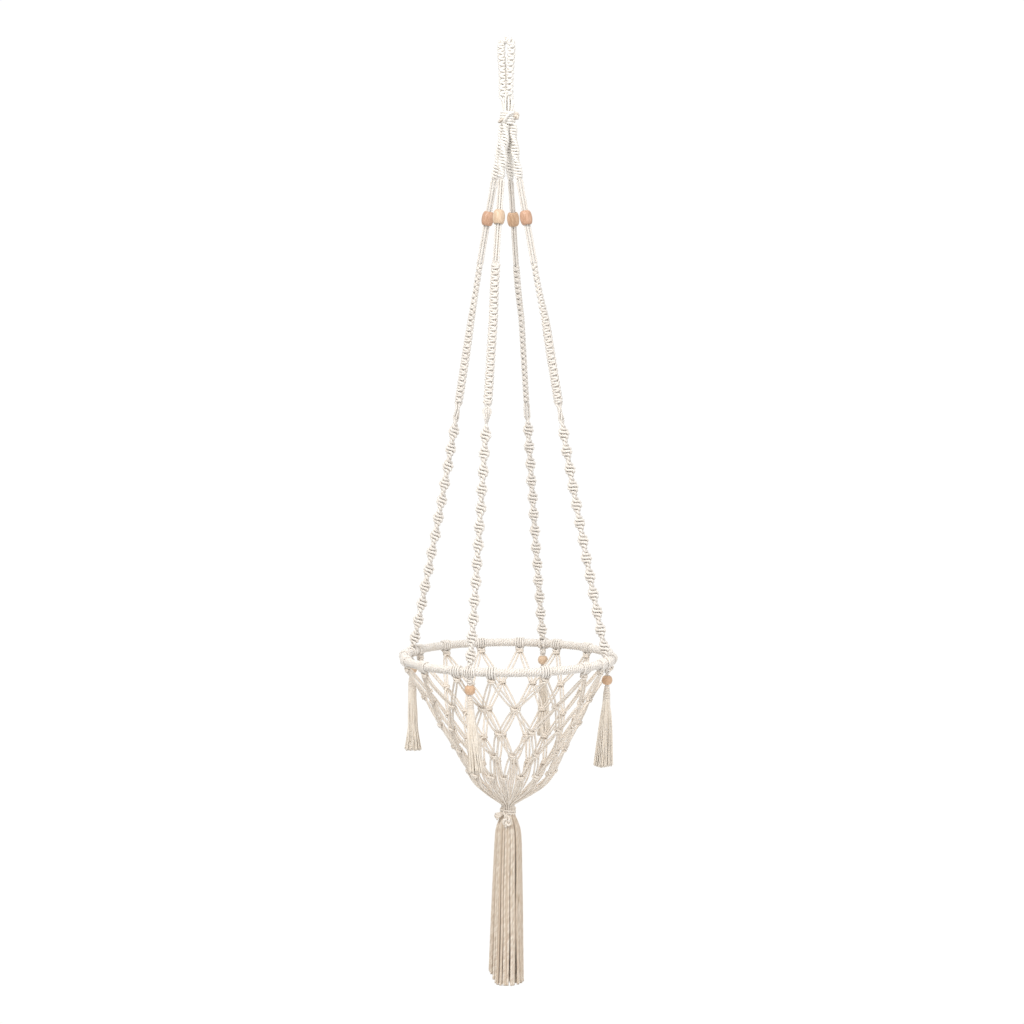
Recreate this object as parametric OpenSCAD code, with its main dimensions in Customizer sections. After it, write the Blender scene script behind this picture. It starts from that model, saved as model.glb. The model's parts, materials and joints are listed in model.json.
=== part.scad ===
// Hanging macrame planter: a cotton-cord hanger with a wrapped ring and a knotted net basket.
// Millimetres. +Z is up, and the origin is the point inside the loop's eye that rests on the hook.
// The four arms lie over the X and Y axes: arm 1 at +X, arm 2 at +Y, arm 3 at -X and arm 4 at -Y.

/* [Cord] */
// Diameter of the cotton cord
cord_d = 3; // [2.6:0.1:3]

/* [Hanging loop] */
// Clear width of the eye that the hook goes through
eye_w = 5.2; // [5.2:0.2:6.4]
// Thickness of the braided loop
loop_d = 7; // [7:0.5:8]
// Depth of the parallel part of the eye
eye_depth = 16; // [14:1:30]
// Distance from the hook point down to the top tie's centre
tie_drop = 83; // [80:1:95]

/* [Arms] */
// Height from the hook point to the ring's centre plane
hang_height = 700; // [660:10:800]
// Length of the upper sennit of each arm, under the top tie
upper_sennit_len = 64; // [50:1:65]
// Distance along the arm from its top to the centre of the bead
bead_at = 106; // [100:1:110]
// Distance along the arm from its top to the square-knot sennit
square_sennit_at = 158; // [152:1:162]
// Length of the square-knot sennit
square_sennit_len = 162; // [150:2:170]
// Length of bare cords between the square-knot sennit and the spiral sennit
gap_len = 24; // [15:1:30]

/* [Beads] */
// Outside diameter of the upper bead
bead_d = 14; // [13.4:0.2:16]
// Length of the upper bead
bead_len = 16; // [12:0.5:17]
// Outside diameter of the lower bead
low_bead_d = 12; // [11:0.2:13]
// Length of the lower bead
low_bead_len = 10.4; // [9:0.2:10.6]

/* [Ring] */
// Outside diameter of the wrapped ring
ring_od = 250; // [240:5:280]
// Thickness of the wrapped ring
ring_t = 9.2; // [8.6:0.1:9.4]
// Diameter of the steel hoop inside the wrap
hoop_d = 4; // [3:0.5:5]

/* [Basket] */
// Depth from the ring's centre plane to the centre of the tie under the basket
basket_depth = 180; // [172:1:188]

/* [Tassels] */
// Length of the tassel's skirt
skirt_len = 68; // [50:1:90]
// Diameter of the skirt at its cut end
skirt_d = 21; // [16:0.5:24]

/* [Tail] */
// Length of the tail from the tie's centre to its cut end
tail_len = 203; // [150:1:260]
// Diameter of the tail at its cut end
tail_d = 42; // [34:1:44]

/* [Hidden] */
$fn = 48;

arms = 4;
cord_colour = [0.94, 0.90, 0.82];
tan_wood = [0.79, 0.58, 0.44];
honey_wood = [0.87, 0.68, 0.47];
pale_wood = [0.90, 0.79, 0.66];
upper_bead_woods = [tan_wood, honey_wood, tan_wood, pale_wood];
lower_bead_woods = [honey_wood, pale_wood, pale_wood, honey_wood];

// Cords lie side by side with a small clearance, so that each stays a separate solid.
cord_r = cord_d / 2 - 0.05;
half_pitch = cord_d / 2;

// Top tie: a round knot whose centre is the swing's pivot.
top_tie_r = 9.2;
top_bundle_r = 5.5;
slip = 0.1;

// Arm line, from its top under the tie to the ring's wire centre.
ring_r = (ring_od - ring_t) / 2;
ring_z = -hang_height;
arm_top_r = 5.5;
arm_top_z = -(tie_drop + top_tie_r + 0.3);
lean = atan((ring_r - arm_top_r) / (arm_top_z - ring_z));
arm_len = norm([ring_r - arm_top_r, arm_top_z - ring_z]);
hitch_r = 6.8;
hitch_angle = 8;
spiral_at = square_sennit_at + square_sennit_len + gap_len;
spiral_end = arm_len - hitch_r - 0.2;
worker_offset = half_pitch * sqrt(3);
bead_bore_r = worker_offset + cord_d / 2 + 0.2;

// Net: rows of knots, each given as [radius, depth below the ring's centre plane, farthest slide in degrees].
columns = 16;
step = 360 / columns;
net_rows = [[119, 9.4, 7.5], [97, 44.5, 7], [81.5, 72.5, 6], [64.5, 103, 3.5], [49.5, 130.5, 1]];
// The whole net has turned a little under the arms, and its knots have slid farthest round at one angle.
net_turn = 2.5;
slid_at = 320;
slid_spread = 19;
knot_r = 3.2;
knot_len = 13.4;
lark_r = 6.6;
lark_angle = 7;
neck_r = 7;
tie_r = 10.3;
tie_z = ring_z - basket_depth;
strand_end_r = 8.4;
strand_end_z = tie_z + 9.5;

// Tassel stations, measured down from the ring's centre plane.
tassel_top = hitch_r + 0.4;
tassel_knot_end = 14.6;
low_bead_at = 20.4;
tassel_head_top = 26.4;
tassel_head_end = 45;
neck_cord_r = 3;

// A round bar between two points.
module rod(p, q, r1, r2) {
    v = q - p;
    translate(p)
        rotate([0, acos(v.z / norm(v)), atan2(v.y, v.x)])
            cylinder(h = norm(v), r1 = r1, r2 = r2);
}

// A tube swept along points in the XZ plane, with its radius at each point.
function side(v) = [v.z, 0, -v.x] / norm(v);
function heading(p, i) = p[min(i + 1, len(p) - 1)] - p[max(i - 1, 0)];
module swept(p, radii, sides) {
    rings = [
        for (i = [0 : len(p) - 1], k = [0 : sides - 1])
            p[i] + radii[i] * (cos(360 * k / sides) * side(heading(p, i)) + sin(360 * k / sides) * [0, 1, 0])
    ];
    walls = [
        for (i = [0 : len(p) - 2], k = [0 : sides - 1])
            let (a = i * sides + k, b = i * sides + (k + 1) % sides) [a, b, b + sides, a + sides]
    ];
    first = [for (k = [sides - 1 : -1 : 0]) k];
    last = [for (k = [0 : sides - 1]) (len(p) - 1) * sides + k];
    polyhedron(points = rings, faces = concat(walls, [first, last]), convexity = 6);
}

// A revolved outline with waves, as a row of knots makes round a core.
module wavy_sleeve(length, bore_r, thin_r, thick_r, waves) {
    steps = 8 * waves;
    outer = [
        for (i = [0 : steps])
            [thin_r + (thick_r - thin_r) * (1 - cos(360 * waves * i / steps)) / 2, length * i / steps]
    ];
    rotate_extrude() polygon(concat([[bore_r, 0]], outer, [[bore_r, length]]));
}

// Places a child on an arm: Z runs down the arm, X points inwards and Y lies along the ring.
module on_arm(i, at) {
    rotate([0, 0, 90 * (i - 1)])
        translate([arm_top_r, 0, arm_top_z])
            rotate([0, 180 - lean, 0])
                translate([0, 0, at]) children();
}

// Places a child under the ring at an arm, depth below the ring's centre plane.
module under_ring(i, depth) {
    rotate([0, 0, 90 * (i - 1)]) translate([ring_r, 0, ring_z - depth]) children();
}

// A flat-sided sleeve outline: two half circles joined by a rectangle.
module stadium(half_w, r) {
    for (s = [-1, 1]) translate([0, s * half_w]) circle(r);
    square([2 * r, 2 * half_w], center = true);
}

module hanging_loop() {
    leg_x = (eye_w + loop_d) / 2;
    arch_z = -eye_w / 2;
    end_z = -(tie_drop - top_tie_r - 0.4);
    shut_z = -(eye_depth + 24);
    right_leg = [
        [leg_x, 0, -eye_depth], [leg_x - 0.6, 0, -eye_depth - 6], [4.3, 0, (shut_z - eye_depth) / 2],
        [3.9, 0, shut_z], [3.8, 0, shut_z - 8], [3.6, 0, end_z]
    ];
    arch = [for (a = [180 : -15 : 0]) [leg_x * cos(a), 0, arch_z + leg_x * sin(a)]];
    left = [for (i = [len(right_leg) - 1 : -1 : 0]) [-right_leg[i].x, 0, right_leg[i].z]];
    route = concat(left, arch, right_leg);
    radii = [for (p = route) p.z < shut_z - 10 ? 3.4 : loop_d / 2];
    color(cord_colour) swept(route, radii, 16);
}

module top_tie() {
    color(cord_colour) translate([0, 0, -tie_drop]) difference() {
        union() {
            sphere(top_tie_r, $fn = 96);
            translate([9.2, -1.6, 1.5]) sphere(3.6);
        }
        cylinder(h = 4 * top_tie_r, r = top_bundle_r + slip, center = true);
    }
}

module top_bundle() {
    color(cord_colour) translate([0, 0, -tie_drop]) cylinder(h = 14.2, r = top_bundle_r, center = true);
}

// Two filler cords run the whole arm; the two knotting cords show where the arm is bare.
module arm_cords(i) {
    bare = [[upper_sennit_len, square_sennit_at], [square_sennit_at + square_sennit_len, spiral_at]];
    color(cord_colour) {
        for (s = [-1, 1])
            on_arm(i, 0.2) translate([0, s * half_pitch, 0]) cylinder(h = spiral_end - 0.2, r = cord_r);
        for (b = bare, s = [-1, 1])
            on_arm(i, b[0]) translate([s * worker_offset, 0, 0]) cylinder(h = b[1] - b[0], r = cord_r);
    }
}

module upper_sennit(i) {
    color(cord_colour) on_arm(i, 0) wavy_sleeve(upper_sennit_len, cord_d + slip, 3.5, 3.85, 5);
}

module square_sennit(i) {
    color(cord_colour) on_arm(i, square_sennit_at) linear_extrude(square_sennit_len) difference() {
        stadium(half_pitch, cord_d);
        stadium(half_pitch, cord_d / 2 + slip / 2);
    }
}

module spiral_sennit(i) {
    waves = 13;
    color(cord_colour) on_arm(i, spiral_at)
        wavy_sleeve(spiral_end - spiral_at, cord_d + slip, 3.6, 5.2, waves);
}

// A sleeve of hitches on the ring, centred on an angle.
module ring_sleeve(angle, wide, outer_r, inner_r) {
    translate([0, 0, ring_z]) rotate([0, 0, angle - wide / 2]) rotate_extrude(angle = wide)
        translate([ring_r, 0]) difference() {
            circle(outer_r);
            circle(inner_r);
        }
}

module ring_hitch(i) {
    color(cord_colour) ring_sleeve(90 * (i - 1), hitch_angle, hitch_r, hoop_d / 2 + slip / 2);
}

module ring_hoop() {
    color("silver") translate([0, 0, ring_z]) rotate_extrude() translate([ring_r, 0]) circle(hoop_d / 2);
}

// The wrapping cord covers the hoop between the arms' hitches.
module ring_wrap() {
    clear = 0.1;
    color(cord_colour) for (i = [0 : arms - 1])
        ring_sleeve(90 * i + 45, 90 - hitch_angle - clear, ring_t / 2, hoop_d / 2 + slip / 2);
}

// The angle of knot k in a row: each row is half a column round from the one above.
function slid(row, a) = net_turn + net_rows[row][2] * exp(-pow((a - slid_at) / slid_spread, 2));
function knot_angle(row, k) = let (a = (k + (row % 2 == 0 ? 0.5 : 1)) * step) a + slid(row, a);

module net_lark_heads() {
    color(cord_colour) for (k = [0 : columns - 1])
        ring_sleeve(knot_angle(0, k), lark_angle, lark_r, ring_t / 2 + slip / 2);
}

// A point at a knot: across it along the ring, and up from it.
function on_net(row, k, across, up) =
    let (a = knot_angle(row, k), r = net_rows[row][0])
    [r * cos(a) - across * sin(a), r * sin(a) + across * cos(a), ring_z - net_rows[row][1] + up];

module net_knots(row) {
    straight = knot_len / 2 - knot_r;
    color(cord_colour) for (k = [0 : columns - 1])
        translate(on_net(row, k, 0, 0)) rotate([90, 0, knot_angle(row, k)]) rotate_extrude() intersection() {
            union() {
                translate([0, -straight]) square([knot_r, 2 * straight]);
                for (s = [-1, 1]) translate([0, s * straight]) circle(knot_r);
            }
            translate([0, -knot_len]) square([knot_len, 2 * knot_len]);
        }
}

// Each pair of cords runs from under one knot to the top of the nearest knot on either side in the row below.
module net_cords(row) {
    inset = 2.2;
    near = half_pitch + 0.1;
    far = near + 1.2 * cord_d;
    color(cord_colour) for (k = [0 : columns - 1], s = [-1, 1]) {
        below = row % 2 == 0 ? (s > 0 ? k : k - 1) : (s > 0 ? k + 1 : k);
        rod(on_net(row, k, s * near, -inset), on_net(row + 1, below, -s * far, inset), cord_r, cord_r);
        rod(on_net(row, k, s * far, -inset), on_net(row + 1, below, -s * near, inset), cord_r, cord_r);
    }
}

// The four cords of each last knot run together into the neck, where the whole bundle passes the tie.
module net_gather_strands() {
    last = len(net_rows) - 1;
    color(cord_colour) {
        for (k = [0 : columns - 1])
            let (a = knot_angle(last, k))
                rod(on_net(last, k, 0, -2), [strand_end_r * cos(a), strand_end_r * sin(a), strand_end_z], 3, 1.55);
        translate([0, 0, tie_z]) cylinder(h = 14.8, r = neck_r, center = true);
    }
}

module basket_tie() {
    color(cord_colour) translate([0, 0, tie_z]) difference() {
        sphere(tie_r, $fn = 96);
        cylinder(h = 4 * tie_r, r = neck_r + slip, center = true);
    }
}

// A turned bead: a round-sided barrel with a bore.
module bead(d, length, bore_r, end_r) {
    steps = 12;
    bulge = d / 2 - end_r;
    arc_r = (bulge * bulge + length * length / 4) / (2 * bulge);
    side = [
        for (i = [0 : steps])
            let (h = length * (i / steps - 0.5)) [d / 2 - arc_r + sqrt(arc_r * arc_r - h * h), h]
    ];
    rotate_extrude() polygon(concat([[bore_r, -length / 2]], side, [[bore_r, length / 2]]));
}

module upper_bead(i) {
    color(upper_bead_woods[i - 1]) on_arm(i, bead_at) bead(bead_d, bead_len, bead_bore_r, 5);
}

module lower_bead(i) {
    color(lower_bead_woods[i - 1])
        under_ring(i, low_bead_at) bead(low_bead_d, low_bead_len, neck_cord_r + 0.25, 3.8);
}

// The arm's own cord ends: a stopping knot, then a round bundle through the lower bead.
module tassel_neck(i) {
    knot_bulge = 4.2;
    color(cord_colour) under_ring(i, tassel_head_top) rotate_extrude() polygon([
        [0, 0], [neck_cord_r, 0], [neck_cord_r, tassel_head_top - tassel_knot_end],
        [knot_bulge, tassel_head_top - tassel_knot_end + 1.2], [knot_bulge, tassel_head_top - tassel_top - 2],
        [2.4, tassel_head_top - tassel_top], [0, tassel_head_top - tassel_top]
    ]);
}

module tassel_head(i) {
    top_r = 3.2;
    low_r = 5.2;
    tall = tassel_head_end - tassel_head_top - slip;
    color(cord_colour) under_ring(i, tassel_head_end) rotate_extrude() polygon([
        [0, 0], [low_r - 0.5, 0], [low_r, 1], [low_r, tall * 0.55], [low_r * 0.92, tall * 0.75],
        [top_r * 1.15, tall * 0.95], [top_r, tall], [0, tall]
    ]);
}

module tassel_skirt(i) {
    top_r = 4.8;
    color(cord_colour) under_ring(i, tassel_head_end + skirt_len) rotate_extrude() polygon([
        [0, 0], [skirt_d / 2, 0], [skirt_d / 2 - 0.4, skirt_len * 0.15], [skirt_d / 2 - 2.6, skirt_len * 0.45],
        [top_r + 0.9, skirt_len * 0.85], [top_r, skirt_len - slip], [0, skirt_len - slip]
    ]);
}

// The tie's own knot and ends lie on the front of the tail.
module basket_tie_knot() {
    color(cord_colour) translate([0, -14.7, tie_z - 9]) {
        sphere(4.4);
        rod([0, 0, 0], [-10.6, 2.8, 4], 1.9, 1.5);
    }
}

module tail_cords() {
    clear = 0.5;
    top_r = 8.5;
    color(cord_colour) translate([0, 0, tie_z]) difference() {
        rotate_extrude() polygon([
            [0, -tail_len], [tail_d / 2, -tail_len], [tail_d / 2 - 1.6, -tail_len * 0.6],
            [15, -tail_len * 0.2], [13.4, -20], [10.6, -13], [top_r, -6], [0, -6]
        ]);
        sphere(tie_r + clear);
    }
}

hanging_loop();
top_tie();
top_bundle();
ring_hoop();
ring_wrap();
net_lark_heads();
net_gather_strands();
basket_tie();
basket_tie_knot();
tail_cords();
for (i = [1 : arms]) {
    arm_cords(i);
    upper_sennit(i);
    square_sennit(i);
    spiral_sennit(i);
    ring_hitch(i);
    upper_bead(i);
    lower_bead(i);
    tassel_neck(i);
    tassel_head(i);
    tassel_skirt(i);
}
for (row = [0 : len(net_rows) - 1]) {
    net_knots(row);
    if (row < len(net_rows) - 1)
        net_cords(row);
}
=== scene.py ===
"""Looks of the hanging macrame planter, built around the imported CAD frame.

Lengths inside the script are in millimetres and become metres when a mesh is made.
A strand is one cord: a list of stretches, each a list of (x, y, z, radius) points for a named piece.
"""

import json
import math
import random

import bpy
import numpy as np
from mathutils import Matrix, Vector


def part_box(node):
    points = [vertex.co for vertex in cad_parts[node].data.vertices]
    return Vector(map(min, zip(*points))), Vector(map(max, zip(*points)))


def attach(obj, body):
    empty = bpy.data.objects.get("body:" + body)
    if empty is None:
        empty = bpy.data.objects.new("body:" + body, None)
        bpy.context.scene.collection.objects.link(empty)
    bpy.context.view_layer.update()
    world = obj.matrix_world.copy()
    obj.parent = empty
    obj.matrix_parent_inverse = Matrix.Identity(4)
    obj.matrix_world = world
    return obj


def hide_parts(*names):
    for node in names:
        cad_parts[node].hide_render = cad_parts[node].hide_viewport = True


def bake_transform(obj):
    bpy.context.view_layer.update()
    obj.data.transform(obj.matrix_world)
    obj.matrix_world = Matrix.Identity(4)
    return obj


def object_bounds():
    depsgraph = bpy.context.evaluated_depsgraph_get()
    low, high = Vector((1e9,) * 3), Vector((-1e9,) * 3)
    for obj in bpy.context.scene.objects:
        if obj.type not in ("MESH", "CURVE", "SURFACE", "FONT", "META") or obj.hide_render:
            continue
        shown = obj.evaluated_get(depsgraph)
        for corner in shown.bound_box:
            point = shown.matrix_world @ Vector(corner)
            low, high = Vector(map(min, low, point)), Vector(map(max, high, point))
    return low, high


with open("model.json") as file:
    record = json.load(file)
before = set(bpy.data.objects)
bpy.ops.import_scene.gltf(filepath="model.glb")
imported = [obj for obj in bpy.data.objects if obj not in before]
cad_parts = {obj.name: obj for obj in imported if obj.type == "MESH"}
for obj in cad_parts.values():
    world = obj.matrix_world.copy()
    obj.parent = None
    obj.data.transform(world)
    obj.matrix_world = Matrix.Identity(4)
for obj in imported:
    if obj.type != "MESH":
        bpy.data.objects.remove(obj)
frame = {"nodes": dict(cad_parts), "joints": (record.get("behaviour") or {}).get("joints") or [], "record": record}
cad_box = [list(corner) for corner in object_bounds()]

MM = 0.001
rng = random.Random(7)
UP = np.array([0.0, 0.0, 1.0])


# ---------------------------------------------------------------- places from the frame

def corners(node):
    """Lowest and highest corner of a CAD node, in millimetres."""
    return [np.array(c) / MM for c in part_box(node)]


def middle(node):
    low, high = corners(node)
    return (low + high) / 2


def node_points(node):
    mesh = frame["nodes"][node].data
    co = np.zeros(len(mesh.vertices) * 3)
    mesh.vertices.foreach_get("co", co)
    return co.reshape(-1, 3) / MM


def joint(name):
    return next(j for j in frame["joints"] if j["name"] == name)


ARMS = (1, 2, 3, 4)
top_tie = middle("top_bundle")
basket_tie = middle("basket_tie")
hoop_r = (corners("ring_hoop")[1][2] - corners("ring_hoop")[0][2]) / 2
ring_half = (corners("ring_wrap")[1][2] - corners("ring_wrap")[0][2]) / 2
ring_z = middle("ring_hoop")[2]
ring_r = corners("ring_hoop")[1][0] - hoop_r
tail_low = corners("tail_cords")[0][2]
tail_r = corners("tail_cords")[1][0]

CORD_R = 1.5
CAMERA_TURN = math.radians(20.5)
to_camera = np.array([math.sin(CAMERA_TURN), -math.cos(CAMERA_TURN), 0.0])
camera_right = np.array([math.cos(CAMERA_TURN), math.sin(CAMERA_TURN), 0.0])


# ---------------------------------------------------------------- camera, light and floor

def look_at(obj, target):
    direction = np.array(target) - np.array(obj.location)
    obj.rotation_euler = Vector(direction).to_track_quat("-Z", "Y").to_euler()


def make_camera():
    distance, above_aim, aim_right, aim_up = 2.53, 0.2055, 0.0047, 0.006
    centre_z = (cad_box[0][2] + cad_box[1][2]) / 2 + aim_up
    camera = bpy.data.objects.new("camera", bpy.data.cameras.new("camera"))
    bpy.context.scene.collection.objects.link(camera)
    camera.location = [*(to_camera[:2] * distance), centre_z + above_aim]
    look_at(camera, [*(camera_right[:2] * aim_right), centre_z])
    camera.data.lens = 77.6
    camera.data.sensor_width = 36
    bpy.context.scene.camera = camera


def area_light(name, azimuth, elevation, distance, size, power, colour):
    """A soft light seen from the object at that azimuth (0 is towards the camera, + to its right)."""
    a, e = math.radians(azimuth), math.radians(elevation)
    flat = to_camera * math.cos(a) + camera_right * math.sin(a)
    centre = [0, 0, (cad_box[0][2] + cad_box[1][2]) / 2]
    light = bpy.data.objects.new(name, bpy.data.lights.new(name, "AREA"))
    light.data.shape = "DISK"
    light.data.size = size
    light.data.energy = power
    light.data.color = colour
    bpy.context.scene.collection.objects.link(light)
    light.location = [c + distance * (f * math.cos(e) + u * math.sin(e)) for c, f, u in zip(centre, flat, UP)]
    look_at(light, centre)


def make_world():
    """A plain white backdrop, whose light on the object is weaker and falls off from above to below."""
    backdrop, light_above, light_below = 1.03, 0.94, 0.58
    scene = bpy.context.scene
    scene.view_settings.view_transform = "Standard"
    world = bpy.data.worlds.new("studio")
    world.use_nodes = True
    scene.world = world
    tree = world.node_tree
    place = tree.nodes.new("ShaderNodeTexCoord").outputs["Generated"]
    split = tree.nodes.new("ShaderNodeSeparateXYZ")
    tree.links.new(place, split.inputs["Vector"])
    light = tree.nodes.new("ShaderNodeMapRange")
    light.inputs["From Min"].default_value = -0.6
    light.inputs["From Max"].default_value = 0.6
    light.inputs["To Min"].default_value = light_below
    light.inputs["To Max"].default_value = light_above
    tree.links.new(split.outputs["Z"], light.inputs["Value"])
    strength = tree.nodes.new("ShaderNodeMapRange")
    strength.inputs["To Max"].default_value = backdrop
    tree.links.new(tree.nodes.new("ShaderNodeLightPath").outputs["Is Camera Ray"], strength.inputs["Value"])
    tree.links.new(light.outputs["Result"], strength.inputs["To Min"])
    tree.links.new(strength.outputs["Result"], tree.nodes["Background"].inputs["Strength"])
    tree.nodes["Background"].inputs["Color"].default_value = (1.0, 0.997, 0.99, 1)


def make_floor():
    below_tail, radius = 0.35, 0.85
    bpy.ops.mesh.primitive_circle_add(vertices=96, radius=radius, fill_type="NGON",
                                      location=(0, 0, cad_box[0][2] - below_tail))
    floor = bpy.context.object
    floor.name = "floor"
    material = bpy.data.materials.new("floor_paint")
    material.use_nodes = True
    shader = material.node_tree.nodes["Principled BSDF"]
    shader.inputs["Base Color"].default_value = (0.9, 0.9, 0.895, 1)
    shader.inputs["Roughness"].default_value = 0.9
    floor.data.materials.append(material)


make_camera()
make_world()
make_floor()
area_light("key", -30, 42, 2.6, 1.2, 38, (1.0, 0.99, 0.975))
area_light("fill", 42, 8, 2.8, 2.0, 24, (0.98, 0.985, 1.0))
area_light("rim", 170, 45, 2.6, 1.6, 14, (1.0, 0.99, 0.97))


# ---------------------------------------------------------------- materials

def shader_of(name, roughness, sheen=0.0, specular=0.3):
    material = bpy.data.materials.new(name)
    material.use_nodes = True
    shader = material.node_tree.nodes["Principled BSDF"]
    shader.inputs["Roughness"].default_value = roughness
    shader.inputs["Sheen Weight"].default_value = sheen
    shader.inputs["Specular IOR Level"].default_value = specular
    return material, material.node_tree, shader


def node(tree, kind, **values):
    made = tree.nodes.new(kind)
    for key, value in values.items():
        setattr(made, key, value)
    return made


def mix_colour(tree, amount, first, second, blend="MIX"):
    """A colour mix; amount, first and second are sockets or constants."""
    made = node(tree, "ShaderNodeMix", data_type="RGBA", blend_type=blend)
    for socket, value in ((made.inputs[0], amount), (made.inputs[6], first), (made.inputs[7], second)):
        if hasattr(value, "is_output"):
            tree.links.new(value, socket)
        else:
            socket.default_value = value
    return made.outputs[2]


def noise(tree, vector, scale, detail, stretch):
    mapping = node(tree, "ShaderNodeMapping")
    mapping.inputs["Scale"].default_value = stretch
    tree.links.new(vector, mapping.inputs["Vector"])
    made = node(tree, "ShaderNodeTexNoise")
    made.inputs["Scale"].default_value = scale
    made.inputs["Detail"].default_value = detail
    tree.links.new(mapping.outputs["Vector"], made.inputs["Vector"])
    return made.outputs["Fac"]


def attribute(tree, name, output):
    return node(tree, "ShaderNodeAttribute", attribute_name=name).outputs[output]


def spread(tree, value, low, high):
    """Stretches a texture's middle range to 0..1."""
    made = node(tree, "ShaderNodeMapRange")
    made.inputs["From Min"].default_value = low
    made.inputs["From Max"].default_value = high
    tree.links.new(value, made.inputs["Value"])
    return made.outputs["Result"]


def cotton(name, light, shade, groove_shade, streaks, bump):
    """Twisted cotton: fibres follow the lay, the ply grooves get painted shade, and cords differ a little."""
    material, tree, shader = shader_of(name, 0.95, sheen=0.2, specular=0.15)
    strand = attribute(tree, "strand", "Vector")
    fibres = noise(tree, strand, 2.4, 3, (1, 1, 0.22))
    slubs = noise(tree, strand, 0.25, 2, (1, 1, 0.35))
    colour = mix_colour(tree, spread(tree, slubs, 0.35, 0.7), light, shade)
    colour = mix_colour(tree, attribute(tree, "tint", "Fac"), colour, shade)
    # The fibre streaks take the same dark colour that paints the shade in the ply grooves.
    streak = mix_colour(tree, spread(tree, fibres, 0.3, 0.62), groove_shade, (1, 1, 1, 1))
    colour = mix_colour(tree, streaks, colour, streak, "MULTIPLY")
    # Painted shade: the colour is darkened in the ply grooves.
    colour = mix_colour(tree, attribute(tree, "groove_shade", "Fac"), colour, groove_shade, "MULTIPLY")
    tree.links.new(colour, shader.inputs["Base Color"])
    relief = node(tree, "ShaderNodeBump")
    relief.inputs["Strength"].default_value = bump
    relief.inputs["Distance"].default_value = 0.25 * MM
    tree.links.new(fibres, relief.inputs["Height"])
    tree.links.new(relief.outputs["Normal"], shader.inputs["Normal"])
    return material


def wood(name, light, dark, seed):
    """Turned wood: rings of grain that run along the bore, with a thin satin finish."""
    material, tree, shader = shader_of(name, 0.42, specular=0.45)
    shader.inputs["Coat Weight"].default_value = 0.12
    shader.inputs["Coat Roughness"].default_value = 0.3
    grain_place = attribute(tree, "strand", "Vector")
    bands = noise(tree, grain_place, 0.9 + 0.1 * seed, 4, (1, 1, 0.08))
    pores = noise(tree, grain_place, 7, 2, (1, 1, 0.1))
    colour = mix_colour(tree, spread(tree, bands, 0.34, 0.66), light, dark)
    colour = mix_colour(tree, spread(tree, pores, 0.55, 0.8), colour, dark)
    tree.links.new(colour, shader.inputs["Base Color"])
    relief = node(tree, "ShaderNodeBump")
    relief.inputs["Strength"].default_value = 0.25
    relief.inputs["Distance"].default_value = 0.1 * MM
    tree.links.new(pores, relief.inputs["Height"])
    tree.links.new(relief.outputs["Normal"], shader.inputs["Normal"])
    return material


def steel(name):
    material, tree, shader = shader_of(name, 0.38, specular=0.5)
    shader.inputs["Metallic"].default_value = 1.0
    place = node(tree, "ShaderNodeTexCoord").outputs["Object"]
    scratches = noise(tree, place, 900, 3, (1, 1, 0.3))
    tree.links.new(mix_colour(tree, scratches, (0.46, 0.46, 0.47, 1), (0.62, 0.62, 0.63, 1)),
                   shader.inputs["Base Color"])
    return material


# Each cotton's third colour is the painted shade multiplied into its ply grooves, and the dark of its fibre
# streaks.
PALE = cotton("pale_cord", light=(0.90, 0.875, 0.845, 1), shade=(0.83, 0.79, 0.74, 1),
              groove_shade=(0.84, 0.79, 0.73, 1), streaks=0.3, bump=0.35)
# A lighter copy of the pale cord for the loop, the top tie's wraps and the upper knots: painted light that lifts
# the shade in these knots.
PALE_PAINTED_LIGHT = cotton("pale_cord_painted_light", light=(0.95, 0.925, 0.895, 1), shade=(0.88, 0.85, 0.80, 1),
                  groove_shade=(0.92, 0.89, 0.85, 1), streaks=0.2, bump=0.3)
IVORY = cotton("ivory_cord", light=(0.93, 0.89, 0.83, 1), shade=(0.85, 0.79, 0.715, 1),
               groove_shade=(0.80, 0.72, 0.64, 1), streaks=0.35, bump=0.45)
OATMEAL = cotton("oatmeal_cord", light=(0.91, 0.845, 0.76, 1), shade=(0.66, 0.555, 0.445, 1),
                 groove_shade=(0.80, 0.73, 0.65, 1), streaks=0.4, bump=0.45)
COMBED = cotton("combed_cotton", light=(0.93, 0.88, 0.81, 1), shade=(0.83, 0.75, 0.645, 1),
                groove_shade=(0.76, 0.66, 0.55, 1), streaks=0.45, bump=0.4)
WOODS = {
    "bead_tan": wood("tan_wood", (0.66, 0.41, 0.28, 1), (0.46, 0.26, 0.16, 1), 1),
    "bead_honey": wood("honey_wood", (0.70, 0.48, 0.31, 1), (0.50, 0.31, 0.19, 1), 2),
    "bead_pale": wood("pale_wood", (0.74, 0.57, 0.41, 1), (0.55, 0.38, 0.25, 1), 3),
}
HOOP_STEEL = steel("hoop_steel")


# ---------------------------------------------------------------- meshes

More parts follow.
